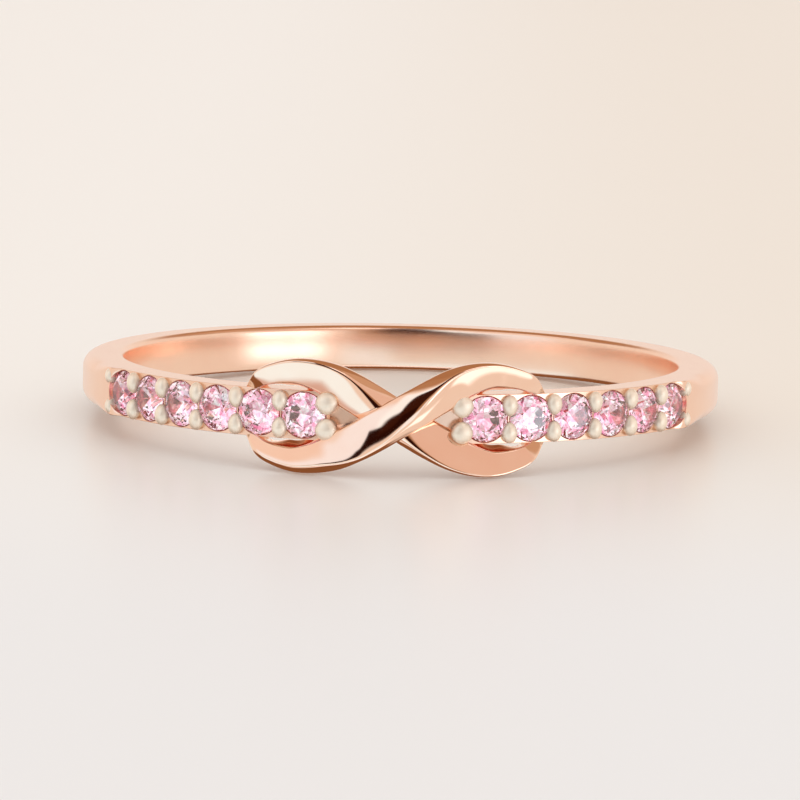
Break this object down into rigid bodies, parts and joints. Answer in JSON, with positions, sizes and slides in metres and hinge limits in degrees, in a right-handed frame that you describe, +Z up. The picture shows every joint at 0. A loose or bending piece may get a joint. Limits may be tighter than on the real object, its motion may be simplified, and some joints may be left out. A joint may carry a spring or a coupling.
{
  "type": "infinity ring",
  "caption": "Narrow rose gold finger ring with a figure-of-eight knot at the front and a row of small round pink stones on each side.",
  "frame": {"origin": "centre of the finger hole, half-way along it", "axes": "the ring lies on its side: +Z up, -Y towards the knot, +X to the right of the knot seen from in front; the finger hole is tilted 2.95 degrees from Z, because the knot is taller than the band and lifts the front"},
  "size_m": [0.0198, 0.0203, 0.0034],
  "materials": {
    "rose_gold": "polished rose gold",
    "pink_stone": "faceted, polished"
  },
  "bodies": {
    "root": {"ring_metal": "rose_gold", "stone_left_1": "pink_stone", "stone_left_2": "pink_stone", "stone_left_3": "pink_stone", "stone_left_4": "pink_stone", "stone_left_5": "pink_stone", "stone_left_6": "pink_stone", "stone_right_1": "pink_stone", "stone_right_2": "pink_stone", "stone_right_3": "pink_stone", "stone_right_4": "pink_stone", "stone_right_5": "pink_stone", "stone_right_6": "pink_stone"}
  },
  "joints": []
}
